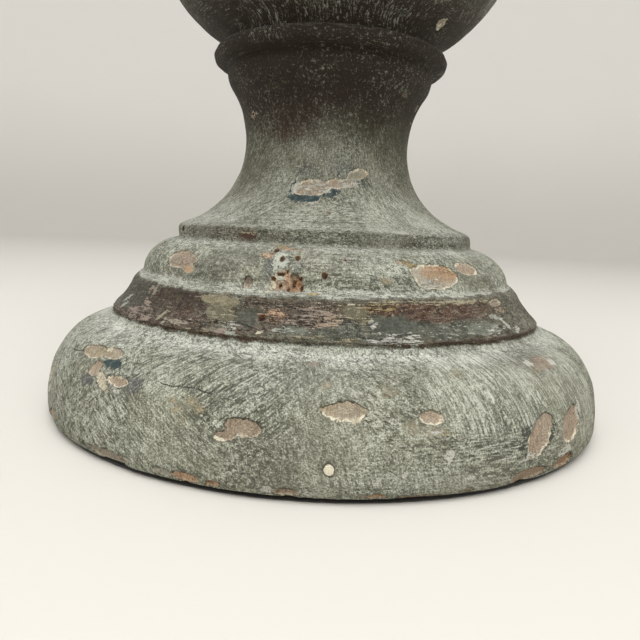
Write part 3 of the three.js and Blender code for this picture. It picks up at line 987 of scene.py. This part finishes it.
def startGroup(name, takes, gives):
    tree = bpy.data.node_groups.new(name, "ShaderNodeTree")
    for label, kind in takes:
        tree.interface.new_socket(name=label, in_out="INPUT", socket_type=kind)
    for label, kind in gives:
        tree.interface.new_socket(name=label, in_out="OUTPUT", socket_type=kind)
    inward = tree.nodes.new("NodeGroupInput")
    outward = tree.nodes.new("NodeGroupOutput")
    return tree, inward.outputs, outward.inputs


def useGroup(tree, group, **values):
    made = tree.nodes.new("ShaderNodeGroup")
    made.node_tree = group
    for name, value in values.items():
        feed(tree, made.inputs[name], value)
    return made.outputs


# Brush strokes that climb round the spire at a lean; Twist is radians round for each mm up.
strokeGroup, take, give = startGroup(
    "brushStrokes",
    (
        ("Place", "NodeSocketVector"),
        ("Twist", "NodeSocketFloat"),
        ("Across", "NodeSocketFloat"),
        ("Upward", "NodeSocketFloat"),
    ),
    (("Mark", "NodeSocketFloat"), ("Line", "NodeSocketFloat")),
)
apart = strokeGroup.nodes.new("ShaderNodeSeparateXYZ")
feed(strokeGroup, apart.inputs[0], take["Place"])
spin = strokeGroup.nodes.new("ShaderNodeVectorRotate")
spin.rotation_type = "Z_AXIS"
feed(strokeGroup, spin.inputs["Vector"], take["Place"])
feed(strokeGroup, spin.inputs["Angle"], calc(strokeGroup, "MULTIPLY", apart.outputs[2], take["Twist"]))
gauge = strokeGroup.nodes.new("ShaderNodeCombineXYZ")
for socket, name in zip(gauge.inputs, ("Across", "Across", "Upward")):
    feed(strokeGroup, socket, take[name])
shrink = strokeGroup.nodes.new("ShaderNodeVectorMath")
shrink.operation = "DIVIDE"
feed(strokeGroup, shrink.inputs[0], spin.outputs[0])
feed(strokeGroup, shrink.inputs[1], gauge.outputs[0])
feed(strokeGroup, give["Mark"], speckle(strokeGroup, shrink.outputs[0], 1.0, 3.0, 0.6))
hair = calc(strokeGroup, "SUBTRACT", speckle(strokeGroup, shrink.outputs[0], 1.7, 1.0, 0.5, 8.0), 0.5)
feed(strokeGroup, give["Line"], ramp(strokeGroup, calc(strokeGroup, "ABSOLUTE", hair), 0.05, 0.0))

# A worn edge: an edge field in mm, made ragged, as a mask.
raggedGroup, take, give = startGroup(
    "raggedEdge",
    (
        ("Edge", "NodeSocketFloat"),
        ("Place", "NodeSocketVector"),
        ("Ragged", "NodeSocketFloat"),
        ("Soft", "NodeSocketFloat"),
    ),
    (("Mask", "NodeSocketFloat"), ("Worn", "NodeSocketFloat")),
)
jag = calc(raggedGroup, "SUBTRACT", speckle(raggedGroup, take["Place"], 1.1, 3.0, 0.6), 0.5)
tearing = calc(raggedGroup, "MULTIPLY", take["Ragged"], 4.0)
torn = calc(raggedGroup, "MULTIPLY_ADD", jag, tearing, take["Edge"])
outside = calc(raggedGroup, "MULTIPLY", take["Soft"], -1.0)
feed(raggedGroup, give["Mask"], ramp(raggedGroup, torn, outside, take["Soft"]))
feed(raggedGroup, give["Worn"], torn)

# Dust that lies on what faces up.
dustGroup, take, give = startGroup(
    "settledDust",
    (("Place", "NodeSocketVector"), ("Amount", "NodeSocketFloat")),
    (("Mask", "NodeSocketFloat"),),
)
facing = dustGroup.nodes.new("ShaderNodeNewGeometry")
tilt = dustGroup.nodes.new("ShaderNodeSeparateXYZ")
feed(dustGroup, tilt.inputs[0], facing.outputs["Normal"])
lies = ramp(dustGroup, tilt.outputs[2], 0.25, 0.95)
broken = ramp(dustGroup, speckle(dustGroup, take["Place"], 2.2, 3.0, 0.65, 3.0), 0.42, 0.62)
settled = calc(dustGroup, "MULTIPLY", lies, broken)
feed(dustGroup, give["Mask"], calc(dustGroup, "MULTIPLY", settled, take["Amount"]))

finish = {
    "gap": "4f5043",        # paint in the hollows of the ground
    "shade": "777969",
    "body": "919382",
    "brushed": "adb09f",
    "chalkTop": "ced0c3",
    "warm": "85806d",
    "olive": "66634c",
    "shadow": "2b241c",
    "cream": "e4dcc4",
    "hole": "291b11",
    "steep": -76,           # lean of each kind of stroke, in degrees
    "rising": 48,
    "slant": -36,
    "strokeWide": 0.72,     # mm
    "strokeLong": 5.0,
    "strokeShare": 0.72,    # how far strokes take over from the mottle
    "mottle": 1.2,
    "grain": 0.5,
    "bumpHeight": 0.00105,  # metres
    "bumpStrength": 0.8,
    "specular": 0.3,
}


def twist(lean, at=105):
    # radians round for each mm up, for strokes that lean so many degrees where the radius is at
    return -1 / math.tan(math.radians(lean)) / at


paintwork = bpy.data.materials.new("distressedGreyGreenPaint")
paintwork.use_nodes = True
tree = paintwork.node_tree
tree.nodes.clear()
place = field(tree, "sweep")["Vector"]

# twice the twist where the neck is half as wide
upOutline = tree.nodes.new("ShaderNodeSeparateXYZ")
feed(tree, upOutline.inputs[0], place)
onNeck = ramp(tree, upOutline.outputs[2], 100.5, 103.5, 1.0, 2.1)
risingTwist = calc(tree, "MULTIPLY", onNeck, twist(finish["rising"]))
wide, long = finish["strokeWide"], finish["strokeLong"]
steep, rising, level, slant = [
    useGroup(tree, strokeGroup, Place=place, Twist=turned, Across=across, Upward=upward)
    for turned, across, upward in (
        (twist(finish["steep"]), wide, long * 1.5),
        (risingTwist, wide * 1.3, long * 0.8),
        (0.0, long * 1.1, wide * 0.9),
        (twist(finish["slant"]), wide * 1.5, long * 0.6),
    )
]
mottle = speckle(tree, place, finish["mottle"], 3.0, 0.6, 1.0)
grain = speckle(tree, place, finish["grain"], 2.0, 0.6, 2.0)
ripple = calc(tree, "SUBTRACT", speckle(tree, place, 2.6, 2.0, 0.5, 9.0), 0.5)
ticks = ramp(tree, calc(tree, "ABSOLUTE", ripple), 0.03, 0.0)

ways = field(tree, "brushWork")
split = tree.nodes.new("ShaderNodeSeparateColor")
feed(tree, split.inputs[0], ways["Color"])
worked = mottle
furrows = ticks
for mark, weight in (
    (rising, split.outputs[1]),
    (level, split.outputs[2]),
    (slant, ways["Alpha"]),
    (steep, split.outputs[0]),
):
    # both move towards each kind of stroke by its weight
    share = calc(tree, "MULTIPLY", weight, finish["strokeShare"])
    worked = calc(tree, "MULTIPLY_ADD", calc(tree, "SUBTRACT", mark[0], worked), share, worked)
    furrows = calc(tree, "MULTIPLY_ADD", calc(tree, "SUBTRACT", mark[1], furrows), share, furrows)
broken = ramp(tree, speckle(tree, place, 1.9, 2.0, 0.5, 10.0), 0.42, 0.58)
furrows = calc(tree, "MULTIPLY", furrows, broken)
surface = calc(tree, "MULTIPLY_ADD", worked, 0.58, calc(tree, "MULTIPLY", grain, 0.42))
# dragged bristles leave pale lines where the strokes are steep and dark furrows elsewhere
drag = calc(tree, "MULTIPLY_ADD", split.outputs[0], 0.42, -0.24)
patchTone = speckle(tree, place, 14.0, 3.0, 0.6, 4.0)
tone = calc(tree, "MULTIPLY_ADD", calc(tree, "SUBTRACT", patchTone, 0.5), 0.18, surface)
tone = calc(tree, "MULTIPLY_ADD", furrows, drag, tone)

steps = tree.nodes.new("ShaderNodeValToRGB")
feed(tree, steps.inputs[0], ramp(tree, tone, 0.395, 0.61))
stops = ((0.0, "gap"), (0.28, "shade"), (0.52, "body"), (0.78, "brushed"), (1.0, "chalkTop"))
while len(steps.color_ramp.elements) < len(stops):
    steps.color_ramp.elements.new(0.5)
for element, (position, name) in zip(steps.color_ramp.elements, stops):
    element.position = position
    element.color = paint(finish[name])
colour = steps.outputs[0]

# warmer and cooler areas of the same coat
drift = ramp(tree, speckle(tree, place, 30.0, 2.0, 0.5, 5.0), 0.42, 0.66)
colour = thinCoat(tree, drift, 0.28, colour, paint(finish["warm"]))

# chalky film and painted highlight on shoulders and lips
chalkAndHighlightMask = calc(tree, "MULTIPLY", field(tree, "chalkAndHighlight")["Fac"], ramp(tree, tone, 0.38, 0.58, 0.12, 1.0))
colour = thinCoat(tree, chalkAndHighlightMask, 0.78, colour, paint("chalkWhite"))

# darker coats on the band, with their own streaks and flecks
coatEdge = field(tree, "coatEdge")["Fac"]
coatMask, coatWorn = useGroup(tree, raggedGroup, Edge=coatEdge, Place=place, Ragged=0.5, Soft=0.2)
# a dark line round the outside of each coat: painted shade, as under the lip above the band
coatLine = calc(tree, "MULTIPLY", ramp(tree, coatWorn, -0.7, -0.1), ramp(tree, mottle, 0.38, 0.5))
colour = thinCoat(tree, coatLine, 0.65, colour, paint(finish["shadow"]))
coatTint = field(tree, "coatTint")["Color"]
coatTone = coat(tree, ramp(tree, tone, 0.52, 0.37, 0.0, 0.75), coatTint, paint(finish["shadow"]))
coatTone = coat(tree, ramp(tree, tone, 0.5, 0.64, 0.0, 0.85), coatTone, paint(finish["brushed"]))
flaking = ramp(tree, speckle(tree, place, 6.0, 2.0, 0.5, 12.0), 0.46, 0.6)
laminate = calc(tree, "MULTIPLY", level[1], flaking)
coatTone = thinCoat(tree, laminate, 0.75, coatTone, paint(finish["shadow"]))
olivePatch = ramp(tree, speckle(tree, place, 5.0, 3.0, 0.6, 6.0), 0.54, 0.66)
coatTone = thinCoat(tree, olivePatch, 0.5, coatTone, paint(finish["olive"]))
colour = thinCoat(tree, coatMask, 0.96, colour, coatTone)

# soft washes of other colours, thinner on the high spots
wash = field(tree, "washTint")
washMask = calc(tree, "MULTIPLY", wash["Alpha"], ramp(tree, tone, 0.6, 0.42, 0.45, 1.2))
colour = coat(tree, washMask, colour, wash["Color"])

# dirt and painted shade in the hollows and under the mouldings
dirtAndShadeMask = calc(tree, "MULTIPLY", field(tree, "dirtAndShade")["Fac"], ramp(tree, tone, 0.66, 0.42, 0.6, 1.0))
colour = thinCoat(tree, dirtAndShadeMask, 0.8, colour, paint(finish["olive"]), "MULTIPLY")

# soot and painted shade darken the top of the neck under the urn
sootAndShadeMask = calc(tree, "MULTIPLY", field(tree, "sootAndShade")["Fac"], ramp(tree, tone, 0.66, 0.5, 0.42, 0.98))
colour = coat(tree, sootAndShadeMask, colour, paint("sootAndShade"))

# stains and undercoats
streakPull = calc(tree, "SUBTRACT", worked, 0.5)
stainTint = field(tree, "stainTint")
stainReach = calc(tree, "MULTIPLY_ADD", streakPull, -7.0, field(tree, "stainEdge")["Fac"])
stained, stainWorn = useGroup(tree, raggedGroup, Edge=stainReach, Place=place, Ragged=0.7, Soft=0.2)
stainHold = calc(tree, "MULTIPLY_ADD", stainTint["Alpha"], 0.28, calc(tree, "SUBTRACT", 0.88, surface))
stainEdge = calc(tree, "MULTIPLY", ramp(tree, stainWorn, -0.7, -0.15), ramp(tree, mottle, 0.46, 0.56))
colour = thinCoat(tree, stainEdge, 0.4, colour, paint(finish["shadow"]))
stainDark = ramp(tree, surface, 0.38, 0.62, 0.25, 0.0)
stainTone = coat(tree, stainDark, stainTint["Color"], paint(finish["shadow"]))
stained = calc(tree, "MULTIPLY", stained, ramp(tree, stainHold, 0.48, 0.53, 0.12, 1.0))
colour = coat(tree, stained, colour, stainTone)

# cracks
fromCrack = calc(tree, "ABSOLUTE", field(tree, "crackSide")["Fac"])
crackWide = calc(tree, "MULTIPLY_ADD", calc(tree, "SUBTRACT", grain, 0.5), 1.2, fromCrack)
cracked = ramp(tree, crackWide, 0.36, 0.05)
colour = thinCoat(tree, cracked, 0.85, colour, paint(finish["shadow"]))

# every coat lies over the same rough ground
groundTone = tree.nodes.new("ShaderNodeCombineColor")
groundShade = ramp(tree, tone, 0.4, 0.6, 0.7, 1.22)
for socket in groundTone.inputs:
    feed(tree, socket, groundShade)
overlaid = coatMask
for mask in (stained, chalkAndHighlightMask, washMask):
    overlaid = calc(tree, "MAXIMUM", overlaid, mask)
colour = coat(tree, overlaid, colour, groundTone.outputs[0], "MULTIPLY")

# chips: wood inside; below, a pale rim of cream ground with a painted highlight; above, a painted shadow
# along the undercut
chipEdge = field(tree, "chipEdge")["Fac"]
chipped, chipWorn = useGroup(tree, raggedGroup, Edge=chipEdge, Place=place, Ragged=0.5, Soft=0.14)
chipColour = field(tree, "chipTint")
high = field(tree, "chipHigh")["Fac"]
woodGrain = useGroup(tree, strokeGroup, Place=place, Twist=0.0, Across=0.7, Upward=2.4)[0]
woodTone = coat(tree, ramp(tree, woodGrain, 0.48, 0.6, 0.0, 0.55), chipColour["Color"], paint("redBrown"))
woodTone = coat(tree, ramp(tree, patchTone, 0.44, 0.56, 0.0, 0.4), woodTone, paint("greyTan"))
woodTone = coat(tree, ramp(tree, grain, 0.5, 0.38, 0.0, 0.4), woodTone, paint(finish["shade"]))
woodTone = coat(tree, ramp(tree, grain, 0.52, 0.64, 0.0, 0.45), woodTone, paint("cream"))
rimSway = calc(tree, "SUBTRACT", speckle(tree, place, 2.8, 2.0, 0.5, 11.0), 0.5)
rimEdge = calc(tree, "MULTIPLY_ADD", rimSway, 3.2, chipWorn)
rimInside = calc(tree, "MULTIPLY", ramp(tree, rimEdge, 0.85, 0.3), ramp(tree, high, 0.1, -0.4))
rimInside = calc(tree, "MULTIPLY", rimInside, ramp(tree, mottle, 0.4, 0.52, 0.15, 1.0))
rimMask = calc(tree, "MULTIPLY", rimInside, chipColour["Alpha"])
woodTone = coat(tree, rimMask, woodTone, paint(finish["cream"]))
# painted shadow along the upper edge of each chip
under = calc(tree, "MULTIPLY", ramp(tree, chipWorn, 0.5, 0.15), ramp(tree, high, 0.15, 0.55))
woodTone = thinCoat(tree, under, 0.85, woodTone, paint(finish["shadow"]))
outline = calc(tree, "MULTIPLY", ramp(tree, chipWorn, -0.6, -0.15), ramp(tree, mottle, 0.42, 0.58))
colour = thinCoat(tree, outline, 0.5, colour, paint(finish["shadow"]))
colour = coat(tree, chipped, colour, woodTone)

# scabs of thicker pale paint, broken up as their own last number says
scabTint = field(tree, "scabTint")
scabEdge = calc(tree, "ADD", field(tree, "scabEdge")["Fac"], 0.15)
scabReach = calc(tree, "MULTIPLY_ADD", streakPull, 7.0, scabEdge)
scabbed = useGroup(tree, raggedGroup, Edge=scabReach, Place=place, Ragged=0.45, Soft=0.15)[0]
flake = calc(tree, "MULTIPLY_ADD", calc(tree, "SUBTRACT", level[0], surface), 0.42, tone)
scabHold = calc(tree, "MULTIPLY_ADD", scabTint["Alpha"], 0.26, flake)
scabMask = calc(tree, "MULTIPLY", scabbed, ramp(tree, scabHold, 0.6, 0.64))
scabLine = calc(tree, "MULTIPLY", scabbed, ramp(tree, scabHold, 0.585, 0.61))
scabLine = calc(tree, "MULTIPLY", scabLine, ramp(tree, scabHold, 0.64, 0.61))
colour = thinCoat(tree, scabLine, 0.45, colour, paint(finish["shadow"]))
scabTone = coat(tree, ramp(tree, grain, 0.3, 0.6, 0.4, 0.0), scabTint["Color"], paint(finish["shade"]))
scabTone = coat(tree, ramp(tree, surface, 0.5, 0.64, 0.0, 0.35), scabTone, paint(finish["cream"]))
colour = thinCoat(tree, scabMask, 0.94, colour, scabTone)

# worm holes, pale at the lip and orange down their walls, and the round bead of filler
pit = calc(tree, "MULTIPLY_ADD", calc(tree, "SUBTRACT", mottle, 0.5), 0.8, field(tree, "pitEdge")["Fac"])
pitLip = calc(tree, "MULTIPLY", ramp(tree, pit, -0.8, -0.3), ramp(tree, grain, 0.36, 0.5))
colour = thinCoat(tree, pitLip, 0.14, colour, paint("cream"))
pitWall = calc(tree, "MULTIPLY_ADD", calc(tree, "SUBTRACT", grain, 0.5), 3.0, pit)
pitTone = coat(tree, ramp(tree, pitWall, -0.1, 0.6), paint("rust"), paint(finish["hole"]))
pitted = ramp(tree, pit, -0.15, 0.15)
colour = coat(tree, pitted, colour, pitTone)
bead = field(tree, "beadEdge")["Fac"]
beadLine = calc(tree, "MULTIPLY", ramp(tree, bead, -0.7, -0.1), 0.6)
colour = coat(tree, beadLine, colour, paint(finish["shadow"]))
colour = coat(tree, ramp(tree, bead, 0.0, 0.25), colour, paint(finish["cream"]))
dusty = useGroup(tree, dustGroup, Place=place, Amount=0.16)[0]
colour = coat(tree, dusty, colour, paint("white"))

heightMix = calc(tree, "MULTIPLY_ADD", surface, 2.6, calc(tree, "MULTIPLY", furrows, -0.5))
heightMix = calc(tree, "MULTIPLY_ADD", scabMask, 0.7, heightMix)
heightMix = calc(tree, "MULTIPLY_ADD", chipped, -1.6, heightMix)
heightMix = calc(tree, "MULTIPLY_ADD", cracked, -0.9, heightMix)
heightMix = calc(tree, "MULTIPLY_ADD", coatMask, 0.4, heightMix)
bump = tree.nodes.new("ShaderNodeBump")
bump.inputs["Strength"].default_value = finish["bumpStrength"]
bump.inputs["Distance"].default_value = finish["bumpHeight"]
feed(tree, bump.inputs["Height"], heightMix)

shader = tree.nodes.new("ShaderNodeBsdfPrincipled")
feed(tree, shader.inputs["Base Color"], colour)
feed(tree, shader.inputs["Normal"], bump.outputs[0])
roughness = calc(tree, "MULTIPLY_ADD", chipped, 0.12, ramp(tree, surface, 0.35, 0.65, 0.62, 0.82))
feed(tree, shader.inputs["Roughness"], roughness)
shader.inputs["Specular IOR Level"].default_value = finish["specular"]
output = tree.nodes.new("ShaderNodeOutputMaterial")
tree.links.new(shader.outputs[0], output.inputs[0])
spire.data.materials.append(paintwork)
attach(spire, "root")
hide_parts("turned_spire")
spire.data.calc_loop_triangles()
print("triangles:", len(spire.data.loop_triangles))
print("paint mixed:", len(tree.nodes), "nodes")

felt = {
    "radius": 114.0,    # mm
    "tuck": 0.9,        # mm that its edge is held in from the wood's
    "fuzz": 0.16,
    "tuckFrom": 100,    # mm from the middle
    "frayFrom": 113,
    "columns": 480,
    # mm from the middle and mm up, round its rim from below
    "profile": (
        (0, 0.0), (60, 0.0), (106, 0.0), (113.2, 0.05), (113.75, 0.35), (113.8, 0.75),
        (113.7, 1.2), (113.1, 1.46), (106, 1.5), (60, 1.5), (0, 1.5),
    ),
    "colour": "0f0e0c",
    "nap": "1e1b18",
    "pressed": "0d0c0b",
    "lint": "8b877c",
}


def buildFelt():
    # a cut disc with a frayed, slightly crushed edge
    columns = felt["columns"]
    turnRound = 2 * math.pi * np.arange(columns) / columns
    edge = np.stack([np.cos(turnRound), np.sin(turnRound), np.zeros(columns)], axis=1)
    fray = wander(edge * felt["radius"], 1.6, 71) + 0.4 * wander(edge * felt["radius"], 3.1, 72)
    profile = felt["profile"]
    coords = [(0, 0, profile[0][1])]
    for far, high in profile[1:-1]:
        frayed = np.where(far > felt["frayFrom"], felt["fuzz"] * fray, 0)
        reach = np.minimum(far + frayed - (felt["tuck"] if far > felt["tuckFrom"] else 0), felt["radius"])
        ring = edge * reach[:, None]
        ring[:, 2] = high
        coords += ring.tolist()
    coords.append((0, 0, profile[-1][1]))
    rings = len(profile) - 2
    faces = ringFaces(rings, columns)
    a = 1 + (rings - 1) * columns
    faces += [(a + j, a + (j + 1) % columns, len(coords) - 1) for j in range(columns)]
    return np.array(coords, float), faces


feltPoints, feltFaces = buildFelt()
pad = buildPiece("feltDisc", feltPoints, feltFaces)
napped = bpy.data.materials.new("blackFelt")
napped.use_nodes = True
tree = napped.node_tree
tree.nodes.clear()
where = tree.nodes.new("ShaderNodeTexCoord")
scaled = tree.nodes.new("ShaderNodeVectorMath")
scaled.operation = "SCALE"
feed(tree, scaled.inputs[0], where.outputs["Object"])
scaled.inputs["Scale"].default_value = 1 / mm
fibre = speckle(tree, scaled.outputs[0], 0.6, 4.0, 0.7, 1.0)
pressed = speckle(tree, scaled.outputs[0], 9.0, 2.0, 0.5, 2.0)
shade = coat(tree, ramp(tree, fibre, 0.4, 0.65), paint(felt["colour"]), paint(felt["nap"]))
shade = coat(tree, ramp(tree, pressed, 0.4, 0.7, 0.0, 0.35), shade, paint(felt["pressed"]))
lint = useGroup(tree, raggedGroup, Edge=calc(tree, "MULTIPLY_ADD", fibre, 9.0, -6.2),
                Place=scaled.outputs[0], Ragged=0.3, Soft=0.3)[0]
shade = thinCoat(tree, lint, 0.5, shade, paint(felt["lint"]))
bump = tree.nodes.new("ShaderNodeBump")
bump.inputs["Strength"].default_value = 0.6
bump.inputs["Distance"].default_value = 0.0003
feed(tree, bump.inputs["Height"], fibre)
shader = tree.nodes.new("ShaderNodeBsdfPrincipled")
feed(tree, shader.inputs["Base Color"], shade)
feed(tree, shader.inputs["Normal"], bump.outputs[0])
feed(tree, shader.inputs["Roughness"], ramp(tree, fibre, 0.3, 0.7, 0.9, 1.0))
shader.inputs["Specular IOR Level"].default_value = 0.15
shader.inputs["Sheen Weight"].default_value = 0.25
shader.inputs["Sheen Roughness"].default_value = 0.6
output = tree.nodes.new("ShaderNodeOutputMaterial")
tree.links.new(shader.outputs[0], output.inputs[0])
pad.data.materials.append(napped)
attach(pad, "root")
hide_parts("felt_pad")
print("felt cut:", len(pad.data.polygons), "faces")

studio = {
    "floorColour": "d3d0c9",
    "wallColour": "f5f3ef",
    "flatRadius": 2.4,                  # metres of level floor
    "wallCurve": 0.9,
    "wallTop": 2.8,
    # place, what it is turned to, size, power
    "keyLight": ((-0.04, -0.68, 1.32), (0, 0, 0.05), 1.2, 18.5),
    "topLight": ((0.0, 0.2, 2.75), (0, 0.3, 0), 5.2, 78.0),
    "fillLight": ((0.55, -1.25, 1.0), (0, 0, 0.08), 0.8, 2.4),
    "skyColour": (0.96, 0.94, 0.9, 1),
    "skyStrength": 0.12,
    "viewAt": (0.0, -0.2716, 0.0754),   # camera place, metres
    "viewDown": 8.51,                   # degrees
    "viewTurn": 0.42,
    "viewRoll": 2.62,
    "focal": 602.8,                     # in pixels of the 640 pixel frame
    "frameWidth": 640,
    "sensor": 36,                       # mm
}


def softBox(name, at, towards, size, power):
    lamp = bpy.data.lights.new(name, "AREA")
    lamp.size = size
    lamp.energy = power
    holder = bpy.data.objects.new(name, lamp)
    holder.location = at
    aim = np.array(towards) - np.array(at)
    across = math.hypot(aim[0], aim[1])
    holder.rotation_euler = (math.atan2(across, -aim[2]), 0, math.atan2(-aim[0], aim[1]))
    holder.visible_camera = False
    bpy.context.scene.collection.objects.link(holder)


for name in ("keyLight", "topLight", "fillLight"):
    softBox(name, *studio[name])
sky = bpy.data.worlds.new("softSky")
sky.use_nodes = True
sky.node_tree.nodes["Background"].inputs[0].default_value = studio["skyColour"]
sky.node_tree.nodes["Background"].inputs[1].default_value = studio["skyStrength"]
bpy.context.scene.world = sky
bpy.context.scene.view_settings.view_transform = "Standard"

# a round floor that curves up into its wall
flat, curve = studio["flatRadius"], studio["wallCurve"]
run = [(flat + curve * math.sin(a), curve - curve * math.cos(a)) for a in np.linspace(0, math.pi / 2, 16)]
run.append((flat + curve, studio["wallTop"]))
sides = 96
circle = 2 * math.pi * np.arange(sides) / sides
floorCoords = [(0.0, 0.0, 0.0)]
for far, high in run:
    floorCoords += [(far * math.sin(a), far * math.cos(a), high) for a in circle]
floor = buildPiece("studioFloor", np.array(floorCoords) / mm, ringFaces(len(run), sides))
plaster = bpy.data.materials.new("palePlasterFloor")
plaster.use_nodes = True
tree = plaster.node_tree
soft = tree.nodes["Principled BSDF"]
where = tree.nodes.new("ShaderNodeTexCoord")
spot = tree.nodes.new("ShaderNodeSeparateXYZ")
feed(tree, spot.inputs[0], where.outputs["Object"])
trowelled = speckle(tree, where.outputs["Object"], 0.5, 3.0, 0.5)
# the wall is painted paler than the floor as it rises: painted light that makes up for the lamp light it
# lacks
highUp = ramp(tree, calc(tree, "MULTIPLY_ADD", trowelled, 0.1, spot.outputs[2]), 0.05, 1.0)
plasterTone = coat(tree, highUp, paint(studio["floorColour"]), paint(studio["wallColour"]))
feed(tree, soft.inputs["Base Color"], plasterTone)
soft.inputs["Roughness"].default_value = 0.85
floor.data.materials.append(plaster)

lens = bpy.data.cameras.new("view")
lens.sensor_width = studio["sensor"]
lens.lens = studio["sensor"] * studio["focal"] / studio["frameWidth"]
lens.clip_start = 0.01
camera = bpy.data.objects.new("view", lens)
camera.location = studio["viewAt"]
turnLeft, down, roll = [math.radians(studio[k]) for k in ("viewTurn", "viewDown", "viewRoll")]
camera.rotation_mode = "XYZ"
aim = Matrix.Rotation(turnLeft, 4, "Z") @ Matrix.Rotation(math.pi / 2 - down, 4, "X")
aim = aim @ Matrix.Rotation(roll, 4, "Z")
camera.rotation_euler = aim.to_euler("XYZ")
bpy.context.scene.collection.objects.link(camera)
bpy.context.scene.camera = camera
print("studio set")
